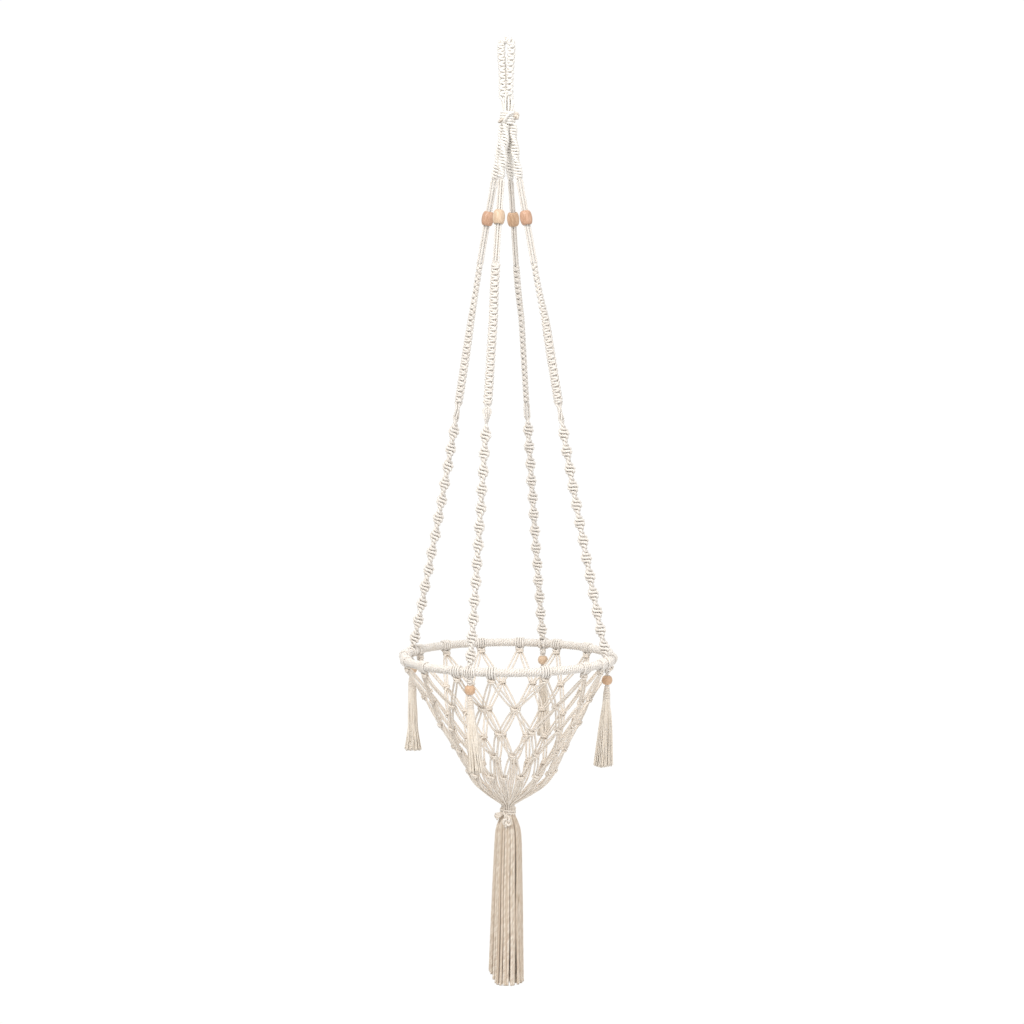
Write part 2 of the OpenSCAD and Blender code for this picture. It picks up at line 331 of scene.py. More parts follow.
class Meshes:
    """Collects the vertices, faces and attributes of each named piece."""

    def __init__(self):
        self.parts = {}

    def add(self, name, points, faces, strand, groove_shade, tint):
        empty = {"co": [], "faces": [], "strand": [], "groove_shade": [], "tint": [], "n": 0}
        part = self.parts.setdefault(name, empty)
        part["faces"].extend([[i + part["n"] for i in face] for face in faces])
        part["n"] += len(points)
        part["co"].append(points)
        part["strand"].append(strand)
        part["groove_shade"].append(groove_shade)
        part["tint"].append(np.full(len(points), tint))

    def make(self, name, material):
        part = self.parts[name]
        mesh = bpy.data.meshes.new(name)
        mesh.from_pydata((np.concatenate(part["co"]) * MM).tolist(), [], part["faces"])
        mesh.shade_smooth()
        for key, kind in (("strand", "FLOAT_VECTOR"), ("groove_shade", "FLOAT"), ("tint", "FLOAT")):
            layer = mesh.attributes.new(key, kind, "POINT")
            values = np.concatenate(part[key]).astype(np.float32).ravel()
            layer.data.foreach_set("vector" if key == "strand" else "value", values)
        mesh.materials.append(material)
        made = bpy.data.objects.new(name, mesh)
        bpy.context.scene.collection.objects.link(made)
        return made


meshes = Meshes()


def smooth(points, spacing, marks=()):
    """A curve through the points, resampled about spacing apart, and where the marked points fall on it."""
    p = np.array(points, float)
    steps = 8
    padded = np.concatenate([[2 * p[0] - p[1]], p, [2 * p[-1] - p[-2]]])
    t = np.linspace(0, 1, steps, endpoint=False)[None, :, None]
    a, b, c, d = (padded[i:len(padded) - 3 + i, None, :] for i in range(4))
    squared, cubed = 2 * a - 5 * b + 4 * c - d, 3 * b - a - 3 * c + d
    curve = 0.5 * (2 * b + (c - a) * t + squared * t ** 2 + cubed * t ** 3)
    curve = np.concatenate([curve.reshape(-1, p.shape[1]), p[-1:]])
    along = np.concatenate([[0], np.cumsum(np.linalg.norm(np.diff(curve[:, :3], axis=0), axis=1))])
    count = max(3, int(round(along[-1] / spacing)) + 1)
    at = np.linspace(0, along[-1], count)
    fine = np.stack([np.interp(at, along, curve[:, k]) for k in range(p.shape[1])], axis=1)
    return fine, [int(round(along[m * steps] / along[-1] * (count - 1))) for m in marks]


def transported(line):
    """Unit tangents, and normals carried along the line without twisting."""
    tangent = np.gradient(line, axis=0)
    tangent /= np.linalg.norm(tangent, axis=1)[:, None]
    start = np.cross(tangent[0], [0.3, 0.5, 0.8])
    normal = [start / np.linalg.norm(start)]
    for t in tangent[1:]:
        n = normal[-1] - t * (normal[-1] @ t)
        normal.append(n / math.sqrt(n @ n))
    return tangent, np.array(normal)


# One ply's outline: its groove, then its rounded back. The depth asked for rescales it.
PLY_PROFILE = (0.78, 0.99, 0.99)


def sleeve(name, line, radii, tangent, normal, offset, tint, lay, plies, depth, sides):
    """Adds one closed tube of twisted plies to the piece called name."""
    rings = len(line)
    along = np.concatenate([[0], np.cumsum(np.linalg.norm(np.diff(line, axis=0), axis=1))]) + offset
    binormal = np.cross(tangent, normal)
    if plies:
        profile = np.tile([1 - depth * (1 - f) / (1 - PLY_PROFILE[0]) for f in PLY_PROFILE], plies)
        sides = len(profile)
    else:
        profile = np.ones(sides)
    place = 2 * math.pi * np.arange(sides) / sides
    turn = place[None, :] + (2 * math.pi * along / lay)[:, None]
    out = np.cos(turn)[..., None] * normal[:, None] + np.sin(turn)[..., None] * binormal[:, None]
    points = line[:, None] + out * (radii[:, None] * profile[None])[..., None]
    unrolled = np.stack([np.broadcast_to(np.cos(place) * CORD_R, (rings, sides)),
                         np.broadcast_to(np.sin(place) * CORD_R, (rings, sides)),
                         np.broadcast_to(along[:, None], (rings, sides))], axis=2)
    # Marks the ply grooves, where the cotton material paints shade.
    groove_shade = np.broadcast_to((profile < 0.95) * 1.0 if plies else np.zeros(sides), (rings, sides))
    faces = []
    for i in range(rings - 1):
        low = i * sides
        faces += [[low + k, low + (k + 1) % sides, low + sides + (k + 1) % sides, low + sides + k]
                  for k in range(sides)]
    faces.append(list(range(sides - 1, -1, -1)))
    faces.append([(rings - 1) * sides + k for k in range(sides)])
    meshes.add(name, points.reshape(-1, 3), faces, unrolled.reshape(-1, 3), groove_shade.ravel(), tint)


def strand(stretches, spacing=1.3, lay=10.0, plies=3, depth=0.16, sides=6, tint=None):
    """One cord through several pieces. stretches is [(piece, points)], each point (x, y, z, radius)."""
    points, marks = [], []
    for _, part in stretches:
        points += list(part)
        marks.append(len(points) - 1)
    fine, marks = smooth(points, spacing, marks)
    tangent, normal = transported(fine[:, :3])
    tint = rng.random() * 0.45 if tint is None else tint
    offset = rng.random() * 900
    radii = fine[:, 3]
    start = 0
    for (name, _), end in zip(stretches, marks):
        if end > start + 1:
            cut = slice(start, end + 1)
            sleeve(name, fine[cut, :3], radii[cut], tangent[cut], normal[cut], offset, tint, lay, plies,
                   depth, sides)
            offset += float(np.linalg.norm(np.diff(fine[cut, :3], axis=0), axis=1).sum())
            start = end
    return fine


def lathe(name, outline, place, axis):
    """Adds a closed turned shape about axis through place: outline is a loop of (radius, height)."""
    sides = 40
    axis = axis / np.linalg.norm(axis)
    across = np.cross(axis, [0.31, 0.87, 0.39])
    across /= np.linalg.norm(across)
    third = np.cross(axis, across)
    angle = 2 * math.pi * np.arange(sides) / sides
    r = np.array([p[0] for p in outline])[:, None]
    h = np.array([p[1] for p in outline])[:, None]
    spin = np.cos(angle)[None, :, None] * across + np.sin(angle)[None, :, None] * third
    points = place + spin * r[..., None] + axis * h[..., None]
    flat = np.stack([np.broadcast_to(np.cos(angle) * r, points.shape[:2]),
                     np.broadcast_to(np.sin(angle) * r, points.shape[:2]),
                     np.broadcast_to(h, points.shape[:2])], axis=2)
    count = len(outline)
    faces = [[i * sides + k, i * sides + (k + 1) % sides, (i + 1) % count * sides + (k + 1) % sides,
              (i + 1) % count * sides + k] for i in range(count) for k in range(sides)]
    offset = rng.random() * 900
    meshes.add(name, points.reshape(-1, 3), faces, flat.reshape(-1, 3) + offset,
               np.zeros(points.shape[0] * sides), 0.0)


# ---------------------------------------------------------------- knots

def half_knots(count, pitch, half_width, half_depth, radius, spiral=False):
    """The two knotting cords of a sennit as (across, out, along, radius) points.

    In each half knot one cord crosses in front of the fillers and the other behind, and they change sides.
    In a square sennit the same cord is always in front; in a spiral one it is always the cord on the left.
    The two halves of a square knot lie a little closer together than its neighbours.
    """
    front = [(-1.0, -0.1, -0.5), (-0.92, 0.6, -0.27), (-0.35, 1.0, -0.06), (0.35, 1.0, 0.06),
             (0.92, 0.6, 0.27)]
    behind = [(1.12, 0.35, -0.5), (1.05, -0.45, -0.2), (0.35, -1.0, -0.04), (-0.35, -1.0, 0.04),
              (-1.05, -0.45, 0.2)]
    cords = ([], [])
    pairing = 0 if spiral else 0.1
    for k in range(count):
        for which in (0, 1):
            starts_left = (k + which) % 2 == 0
            in_front = starts_left if spiral else which == 0
            route = front if in_front else behind
            flip = 1 if starts_left == in_front else -1
            knot_at = k + 0.5 + pairing * (-1) ** k
            for u, v, w in route:
                cords[which].append((flip * u * half_width, v * half_depth, (knot_at + w) * pitch, radius))
    return cords


class Line:
    """An axis to tie knots along: across and out lie beside it, roll turns them and bow bends the axis."""

    def __init__(self, origin, along, out, roll=lambda w: 0.0, bow=lambda w: 0.0):
        self.origin, self.along, self.out, self.roll, self.bow = origin, along, out, roll, bow
        self.across = np.cross(out, along)

    def at(self, u, v, w, radius):
        c, s = math.cos(self.roll(w)), math.sin(self.roll(w))
        p = self.origin + self.across * (u * c - v * s) + self.out * (u * s + v * c) + self.along * w
        return (*(p + camera_right * self.bow(w)), radius)


def shifted(points, start):
    return [(u, v, w + start, r) for u, v, w, r in points]


# ---------------------------------------------------------------- the four arms and their tassels

SENNITS = {
    "upper": {"pitch": 3.5, "half_width": 3.3, "half_depth": 2.1, "radius": 1.65, "spiral": True},
    "square": {"pitch": 3.1, "half_width": 3.5, "half_depth": 2.1, "radius": 1.6},
    "spiral": {"pitch": 3.6, "half_width": 4.6, "half_depth": 2.8, "radius": 1.75, "spiral": True},
}
# The length in which the upper sennit turns once round its arm.
UPPER_TURN = 48.0
# A spiral sennit swells and narrows as it turns: its number of swells, and its narrowest over its widest.
SWELLS, NARROW = 13, 0.52
# How far each arm bows sideways, to the picture's right: at its bead, and halfway from the bead to the ring.
BOWS = {1: (-2.9, -3.6), 2: (-2.7, -1.2), 3: (0.6, 4.2), 4: (-1.4, 0.0)}
# How far the square knots are turned about each arm, in degrees: at their top and lower down.
TURNS = {1: (-18, 72), 2: (42, 66), 3: (-18, -80), 4: (-10, -30)}
FRONT_ARM = 4
# How far the knots that stop a bead are drawn back to leave it room: half as much again for those above it.
BEAD_ROOM = 2.2
# How far below the ring's middle the knot above a lower bead starts.
TASSEL_KNOT_AT = 8.0
# How far a cord lies from the middle of the arm: one of two side by side, and one in the groove above them.
BESIDE, STACKED = 0.95 * CORD_R, CORD_R * math.sqrt(3)


def ease(t):
    """A share from 0 to 1, made level at both ends."""
    return t * t * (3 - 2 * t)


class Arm:
    """An arm: where its sennits start and end along it, and how it turns, bows and swells on the way."""

    def __init__(self, n):
        self.n = n
        self.along = np.array(joint(f"upper_bead_{n}_slide")["axis"], float)
        self.along /= np.linalg.norm(self.along)
        self.wire = np.array(joint(f"tassel_{n}_swing")["pos_m"]) / MM
        self.outward = np.array([self.wire[0], self.wire[1], 0.0])
        self.outward /= np.linalg.norm(self.outward)
        self.length = (corners(f"arm_{n}_cords")[1][2] - ring_z) / -self.along[2]
        self.top = self.wire - self.along * self.length
        out = self.outward - self.along * (self.outward @ self.along)
        self.out = out / np.linalg.norm(out)
        self.upper, self.square, self.spiral = (self.reach(f"arm_{n}_{key}_sennit") for key in SENNITS)
        self.swell = (self.spiral[1] - self.spiral[0]) / SWELLS
        self.facing = math.atan2(camera_right @ self.out, camera_right @ np.cross(self.out, self.along))
        self.line = Line(self.top, self.along, self.out, self.roll, self.bow)

    def reach(self, node_name):
        """Where a CAD node starts and ends along the arm."""
        distance = (node_points(node_name) - self.top) @ self.along
        return distance.min(), distance.max()

    def spiral_roll(self, w):
        """Half a turn for each swell, with the sennit's broad side towards the camera where it swells."""
        first_swell = self.spiral[0] + self.swell / 2
        return self.facing + math.pi * (w - first_swell) / self.swell

    def flat_roll(self, w):
        at_top, lower = TURNS[self.n]
        start, end = self.square
        t = ease(min(1.0, max(0.0, (w - start) / (0.7 * (end - start)))))
        turned = math.radians(at_top + (lower - at_top) * t)
        return turned + 2 * math.pi * max(0.0, self.upper[1] - w) / UPPER_TURN

    def roll(self, w):
        if w >= self.spiral[0]:
            return self.spiral_roll(w)
        t = max(0.0, (w - self.square[1]) / (self.spiral[0] - self.square[1]))
        change = self.spiral_roll(self.spiral[0]) - self.flat_roll(self.square[1])
        change -= math.pi * round(change / math.pi)
        return self.flat_roll(w) + change * ease(t)

    def bow(self, w):
        """How far the arm is bowed to the picture's right: parallel to the slide where the bead slides."""
        at_bead, below = BOWS[self.n]
        past = max(0.0, w - self.square[0])
        bend = below * math.sin(math.pi * past / (self.length - self.square[0]))
        rise, fall = min(1.0, max(0.0, w) / self.upper[1]), min(1.0, past / self.upper[1])
        return bend + at_bead * math.sin(math.pi / 2 * (rise + fall))

    def thickness(self, w):
        """The spiral sennit's thickness over its widest."""
        wave = (1 - math.cos(2 * math.pi * (w - self.spiral[0]) / self.swell)) / 2
        return NARROW + (1 - NARROW) * wave

    def knots(self, key, start, end):
        """The two knotting cords of a sennit from start to end."""
        size = SENNITS[key]
        count = int((end - start) // size["pitch"]) // 2 * 2
        pair = half_knots(count, (end - start) / count, size["half_width"], size["half_depth"],
                          size["radius"], size.get("spiral", False))
        return [shifted(cord, start) for cord in pair]

    def in_bore(self, side, w, knotting):
        """A cord where the bead slides: the four lie in a diamond, a quarter turned on the front arm."""
        if self.n == FRONT_ARM:
            u, v = (2.6, 0.0) if knotting else (0.0, BESIDE)
        else:
            u, v = (0.4, 2.6) if knotting else (BESIDE, 0.0)
        return self.line.at(side * u, side * v, w, 1.3 if knotting else 1.35)

    def loose(self, side, w):
        """A knotting cord between square and spiral knots: on the front arm it lies beside the fillers."""
        u, v = (4.1, 0.1 * STACKED) if self.n == FRONT_ARM else (0.4, STACKED)
        return self.line.at(side * u, side * v, w, 1.3)

    def in_tie(self, outwards, sideways, up):
        """A point of a cord where it passes the top tie."""
        return (*(top_tie + self.out * outwards + self.line.across * sideways + UP * up), 1.2)


def around_ring(wire, outward, turns, radius, cord_radius):
    """Points round the ring's section: turns is [(degrees from the bottom outwards, shift along it)]."""
    tangent = np.cross(UP, outward)
    points = []
    for angle, shift in turns:
        a = math.radians(angle)
        place = wire + tangent * shift + radius * (math.sin(a) * outward - math.cos(a) * UP)
        points.append((*place, cord_radius))
    return points


def make_arm(n):
    arm = Arm(n)
    line, wire, upper, square, spiral = arm.line, arm.wire, arm.upper, arm.square, arm.spiral
    upper_knots = arm.knots("upper", upper[0], upper[1] - 1.5 * BEAD_ROOM)
    square_knots = arm.knots("square", square[0] + BEAD_ROOM, square[1])
    spiral_knots = [[(u * arm.thickness(w), v * arm.thickness(w), w, r) for u, v, w, r in cord]
                    for cord in arm.knots("spiral", *spiral)]
    stop_knots = half_knots(2, 2.7, 2.5, 2.0, 1.1)
    wrap_r, wrap_cord = ring_half + 0.9, 1.35
    down = Line(wire, -UP, arm.outward)
    head_at = ring_z - corners(f"tassel_{n}_head")[1][2]
    bead_travel = np.linspace(upper[1] - 0.5, square[0] + 0.5, 10)
    lower_bead = np.linspace(TASSEL_KNOT_AT + 8.5, head_at + 5, 3)
    neck = f"tassel_{n}_neck_cords"
    pieces = [f"arm_{n}_{key}" for key in ("upper_knots", "bare_cords", "square_knots", "bare_cords",
                                           "spiral_knots", "ring_hitch")] + [neck]

    for which, side in enumerate((1, -1)):
        root = [arm.in_tie(1.5, side * 1.5, 3), arm.in_tie(2.6, side * 2.0, -5)]
        first = [line.at(*p) for p in upper_knots[which]]
        bare = [arm.in_bore(side, w, True) for w in bead_travel]
        flat = [line.at(*p) for p in square_knots[which]]
        gap = [arm.loose(side, w) for w in np.linspace(square[1] + 6, spiral[0] - 6, 3)]
        last = [line.at(*p) for p in spiral_knots[which]]
        hitch = around_ring(wire, arm.outward, [(150, side * 4.5), (110, side * 6.6), (60, side * 6.6),
                                                (20, side * 5.4)], wrap_r, wrap_cord)
        tie = [down.at(*p) for p in shifted(stop_knots[which], TASSEL_KNOT_AT)]
        through = [down.at(0.2 * side, 1.3 * side, w, 1.1) for w in lower_bead]
        strand(list(zip(pieces, (root + first, bare, flat, gap, last, hitch, tie + through))))
    for side in (-1, 1):
        root = [arm.in_tie(3.6, side * 0.8, 3), arm.in_tie(4.4, side * 1.0, -5)]
        first = [line.at(side * 1.2, 0, w, 1.35) for w in np.linspace(2, upper[1], 12)]
        bare = [arm.in_bore(side, w, False) for w in bead_travel]
        flat = [line.at(side * 1.25, 0, w, 1.4) for w in np.linspace(*square, 7)]
        gap = [line.at(side * BESIDE, 0, w, 1.35) for w in np.linspace(square[1] + 6, spiral[0] - 5, 3)]
        last = [line.at(side * 1.15, 0, w, 1.4) for w in np.linspace(*spiral, 60)]
        hitch = around_ring(wire, arm.outward, [(165, side * 1.5), (110, side * 1.4), (50, side * 1.4),
                                                (0, side * 1.9), (-60, side * 2.6), (-120, side * 3.2),
                                                (-180, side * 3.8), (-240, side * 4.1), (-300, side * 4.1),
                                                (-345, side * 3.0)], wrap_r, wrap_cord)
        tie = [down.at(side * 1.1, 0, TASSEL_KNOT_AT + w, 1.1) for w in (0, 3, 6)]
        through = [down.at(side * 1.3, 0, w, 1.1) for w in lower_bead]
        strand(list(zip(pieces, (root + first, bare, flat, gap, last, hitch, tie + through))))

    for key, replaced in (("bare_cords", "cords"), ("square_knots", "square_sennit"),
                          ("spiral_knots", "spiral_sennit"), ("ring_hitch", "ring_hitch")):
        piece = meshes.make(f"arm_{n}_{key}", PALE)
        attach(piece, "hanger")
        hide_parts(f"arm_{n}_{replaced}")
    # The upper knots are the same cords as the bare cords below, painted lighter.
    piece = meshes.make(f"arm_{n}_upper_knots", PALE_PAINTED_LIGHT)
    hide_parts(f"arm_{n}_upper_sennit")
    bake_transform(piece)
    piece = meshes.make(neck, PALE)
    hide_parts(f"tassel_{n}_neck")
    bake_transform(piece)


def bead_outline(node_name, axis, snug):
    """A rounded bead of a CAD bead's size: its bore, smaller by snug, its eased lips and its bulging side."""
    points = node_points(node_name)
    place = points.mean(axis=0)
    height = (points - place) @ axis
    radial = np.linalg.norm(points - place - height[:, None] * axis, axis=1)
    half, big, bore = height.max(), radial.max(), radial.min() - snug
    lip, flat_end = 0.5, 0.35
    end = bore + flat_end
    inner = [(bore, h) for h in (-half + lip, 0, half - lip)]
    top = [(bore + lip * (1 - math.cos(a)), half - lip + lip * math.sin(a))
           for a in np.linspace(0.4, 1.57, 4)]
    side = []
    for a in np.linspace(1.4, -1.4, 17):
        side.append((end + (big - end) * math.cos(a) ** 1.15, half * math.sin(a) * 0.985))
    bottom = [(r, -h) for r, h in reversed(top)]
    return place, inner + top + side + bottom


def make_bead(node_name, axis, snug, shift=0.0):
    axis = np.array(axis, float)
    place, outline = bead_outline(node_name, axis / np.linalg.norm(axis), snug)
    place = place + camera_right * shift
    slot = slot_of(node_name)
    name = node_name + "_turned"
    lathe(name, outline, place, axis)
    piece = meshes.make(name, WOODS[slot])
    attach(piece, node_name)
    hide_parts(node_name)


def slot_of(node_name):
    return next(s["material_slot"] for s in frame["record"]["subparts"] if s["node"] == node_name)


# How each tassel hangs: its foot's shift to the picture's right, how far it reaches below the CAD skirt, its
# foot's radius, how far down it starts to flare, and the radius of its head.
TASSELS = {
    1: {"lean": -4.6, "longer": 7.0, "foot_r": 10.8, "flare_at": 0.02, "head_r": 4.4},
    2: {"lean": 1.0, "longer": 0.0, "foot_r": 9.0, "flare_at": 0.3, "head_r": 4.8},
    3: {"lean": 1.0, "longer": 4.0, "foot_r": 11.4, "flare_at": 0.62, "head_r": 5.0},
    4: {"lean": 7.0, "longer": 0.5, "foot_r": 9.0, "flare_at": 0.1, "head_r": 4.2},
}


def make_tassel(n):
    hang = TASSELS[n]
    wire = np.array(joint(f"tassel_{n}_swing")["pos_m"]) / MM
    low, high = corners(f"tassel_{n}_head")
    head = f"tassel_{n}_head_wraps"
    foot_z = corners(f"tassel_{n}_skirt")[0][2] - hang["longer"]
    turns, r, neck_r = 9, 1.05, 3.1
    centre = np.array([wire[0], wire[1], 0.0])

    def axis(z):
        """The tassel's middle at a height, leaning more towards its foot."""
        f = max(0.0, (high[2] - z) / (high[2] - foot_z))
        return centre + camera_right * hang["lean"] * f ** 1.2

    coil = []
    for f in np.linspace(0, 1, turns * 10 + 1):
        bulge = neck_r - r + (hang["head_r"] - neck_r) * math.sin(min(1.0, f * 1.45) * math.pi / 2) ** 1.3
        a, z = 2 * math.pi * turns * f, high[2] - 0.8 - f * (high[2] - low[2] - 1.4)
        coil.append((*(axis(z) + [bulge * math.cos(a), bulge * math.sin(a), z]), r))
    strand([(head, coil)], spacing=1.2, tint=0.1)
    piece = meshes.make(head, IVORY)
    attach(piece, f"tassel_{n}")
    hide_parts(f"tassel_{n}_head")

    skirt, count, top_z = f"tassel_{n}_skirt_strands", 210, low[2]
    top_r, foot_r = hang["head_r"] - 0.6, hang["foot_r"] - 0.7
    for i in range(count):
        f = math.sqrt((i + 0.5) / count)
        a = i * math.pi * (3 - math.sqrt(5)) + rng.uniform(-0.15, 0.15)
        clump = 1 + 0.10 * math.sin(4 * a + n) + 0.06 * math.sin(9 * a)
        flat = np.array([math.cos(a), math.sin(a), 0.0])
        side = np.array([-math.sin(a), math.cos(a), 0.0])
        bottom = foot_z + rng.uniform(0, 1.6) + (1.5 * rng.random() if f > 0.85 else 0)
        sway, phase = rng.uniform(-1.1, 1.1), rng.uniform(0, 6)
        points = []
        for g in (-0.04, 0.05, 0.2, 0.4, 0.6, 0.8, 1.0):
            t = max(0.0, (g - hang["flare_at"]) / (1 - hang["flare_at"]))
            slim = top_r + min(1.5, 3.0 * max(0.0, g))
            r = f * (slim + (foot_r - slim) * t ** 1.1) * (clump if g > 0.15 else 1)
            wave = 0.6 * math.sin(8 * g + phase) + 0.5 * math.sin(5 * g + 3 * math.sin(a))
            z = top_z - g * (top_z - bottom)
            place = axis(z) + flat * r + side * (sway * g + wave * max(0.0, g)) + [0, 0, z]
            points.append((*place, 0.58 - 0.1 * g))
        strand([(skirt, points)], spacing=3.0, plies=0, sides=5, lay=30, tint=0.8 * rng.random() ** 1.5)
    piece = meshes.make(skirt, COMBED)
    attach(piece, f"tassel_{n}")
    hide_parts(f"tassel_{n}_skirt")


# ---------------------------------------------------------------- loop and top tie

def make_loop():
    """Two legs of square knots, joined by the arch over the hook, with bare cords above the tie."""
    low, high = corners("hanging_loop")
    leg_x = (high[0] - low[0]) / 2 - (high[1] - low[1]) / 2
    half_eye = leg_x - (high[1] - low[1]) / 2
    knot_end, loop_lean = -60.0, -1.8
    leg = [(leg_x, -half_eye - 4), (leg_x - 0.2, -13), (5.2, -21), (4.6, -29), (4.4, -42), (4.3, -52),
           (4.1, knot_end)]
    arch = [(leg_x * math.cos(a), -half_eye + leg_x * math.sin(a)) for a in np.linspace(math.pi, 0, 9)]
    route = [(-x, z) for x, z in reversed(leg)] + arch + leg
    centre, _ = smooth([(x, 0, z, 0) for x, z in route], 0.5)
    centre = centre[:, :3]
    tangent = np.gradient(centre, axis=0)
    tangent /= np.linalg.norm(tangent, axis=1)[:, None]
    along = np.concatenate([[0], np.cumsum(np.linalg.norm(np.diff(centre, axis=0), axis=1))])
    forward = np.array([0.0, -1.0, 0.0])

    def at(u, v, w, radius):
        i = min(len(centre) - 1, int(np.searchsorted(along, w)))
        sideways = np.cross(forward, tangent[i])
        turn = 0.5 * math.sin(w / 17)
        c, s = math.cos(turn), math.sin(turn)
        p = centre[i] + sideways * (u * c - v * s) + forward * (u * s + v * c) + tangent[i] * (w - along[i])
        p = p + camera_right * loop_lean
        return (*p, radius)

    pitch, ends = 3.3, top_tie[2] + 5
    count = int(along[-1] // pitch)
    for cord in half_knots(count, along[-1] / count, 2.9, 2.1, 1.7):
        middle_part = [at(*p) for p in cord]
        side = 1 if middle_part[0][1] > 0 else -1
        before = [(-2.2, side * 1.5, ends, 1.2), (-4.6, side * 1.7, knot_end - 6, 1.3)]
        after = [(4.6, -side * 1.7, knot_end - 6, 1.3), (2.2, -side * 1.5, ends, 1.2)]
        strand([("loop_sennit", before + middle_part + after)])
    for u in (-1.0, 1.0):
        middle_part = [at(u, 0, w, 1.1) for w in np.linspace(0, along[-1], 40)]
        before = [(-3.2 - u, 0, ends, 1.25), (-5.8 - u, 0, knot_end - 6, 1.3)]
        after = [(5.8 - u, 0, knot_end - 6, 1.3), (3.2 - u, 0, ends, 1.25)]
        strand([("loop_sennit", before + middle_part + after)])
    for x, y in ((-4.4, 1.2), (-1.4, -2.6), (1.4, 2.6), (4.4, -1.2), (0, 0.2), (-1.6, 2.4), (1.6, -2.4)):
        strand([("loop_sennit", [(x * 0.9, y, ends, 1.25), (x * 1.3, y, ends + 8, 1.35),
                                 (x * 1.1, y * 0.8, knot_end, 1.2), (x, y * 0.5, knot_end + 7, 1.0)])])
    piece = meshes.make("loop_sennit", PALE_PAINTED_LIGHT)
    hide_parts("hanging_loop")
    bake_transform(piece)


def beside(centre):
    """A function that gives points from centre: to the picture's right, towards the camera and up."""
    return lambda x, front, up: centre + camera_right * x + to_camera * front + UP * up


def make_top_tie():
    """A wrapping knot round the bundle, with its knotted end out to the right and a short one to the left."""
    at = beside(top_tie)
    turns, r, wide, pitch = 5, 1.7, 6.6, 2.9
    coil = []
    for a in np.linspace(0, turns * 2 * math.pi, turns * 12):
        height = 7.2 - a * pitch / (2 * math.pi)
        swell = wide + 1.3 * math.cos(height * math.pi / 16)
        coil.append((*(top_tie + [swell * math.cos(a), swell * math.sin(a), height]), r))
    over = [(-4.8, 6.0, -7.0), (-3.6, 9.2, -4.2), (-1.0, 10.2, 0.2), (3.2, 9.4, 3.8), (7.2, 6.2, 5.0)]
    for route in (coil, [(*at(*p), r) for p in over]):
        strand([("top_tie_wraps", route)], tint=0.15)
    knob = [(5.0, 5.5, 2.4), (8.4, 5.6, 3.9), (11.2, 3.4, 3.4), (11.4, 1.4, 0.2), (9.0, 1.6, -1.8),
            (7.4, 4.2, -0.6), (8.8, 6.4, 1.6), (11.0, 6.2, -0.4), (10.4, 5.2, -2.6)]
    short = [(-4.0, 6.4, -1.6), (-6.8, 5.6, -3.2), (-9.2, 3.6, -4.4), (-10.0, 2.2, -6.0)]
    # The knob and the short end take the cord's darker tone all over: painted shade.
    for route in (knob, short):
        strand([("top_tie_ends", [(*at(*p), r) for p in route])], tint=1.0)
    for name, replaced, material in (("top_tie_wraps", "top_tie", PALE_PAINTED_LIGHT),
                                     ("top_tie_ends", "top_bundle", IVORY)):
        piece = meshes.make(name, material)
        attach(piece, "top_knot")
        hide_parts(replaced)


# ---------------------------------------------------------------- ring and net

def make_ring():
    """The hoop's wrapping: one cord wound close all the way round."""
    r, pitch, proud = 1.75, 2.7, 0.55
    wind_r = ring_half + proud - r
    turns = int(2 * math.pi * ring_r / pitch)
    per_turn = 10
    around = np.linspace(0, 2 * math.pi, turns * per_turn + 1)
    wind = around * turns
    radial = ring_r + wind_r * np.cos(wind)
    points = np.stack([radial * np.cos(around), radial * np.sin(around), ring_z + wind_r * np.sin(wind),
                       np.full(len(around), r)], axis=1)
    strand([("ring_wrap_cord", points)], spacing=2.1, depth=0.06, tint=0.05)
    piece = meshes.make("ring_wrap_cord", PALE)
    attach(piece, "hanger")
    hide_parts("ring_wrap")
    frame["nodes"]["ring_hoop"].data.materials.clear()
    frame["nodes"]["ring_hoop"].data.materials.append(HOOP_STEEL)


NET_ROWS = 5
COLUMNS = 16
STEP = 2 * math.pi / COLUMNS
KNOT_PITCH = 3.0


def row_size(row):
    """Radius and height of a row of knots."""
    points = node_points(f"net_knots_row_{row + 1}")
    thick = (points[:, 2].max() - points[:, 2].min()) / 2
    return np.linalg.norm(points[:, :2], axis=1).max() - thick - 0.4, points[:, 2].mean()


# How far the net is turned, in degrees. The knots from column FACING on, which face the camera, have slid
# round it by the amounts in SLIDES instead, row by row.
NET_TURN, FACING = 2.5, 11
SLIDES = ((3.5, 0.5, 7, 10, 3), (3, 2.3, 9, 11, 4), (2, 2, 5.5, 8, 4), (6, 2.8, 4.5, 9, 4),
          (8, 2.9, 3, 1.5, 1))
# For each row: how far it hangs below its even place, how far its knots stray at random, and how far it has
# shifted to the picture's right.
ROW_DROPS = (0.5, 0.5, 2.5, 1.0, 1.5)
ROW_STRAYS = (0.0, 0.6, 1.2, 1.6, 1.6)
ROW_SHIFTS = (0, 0.5, 1.2, 3.2, 5.5)


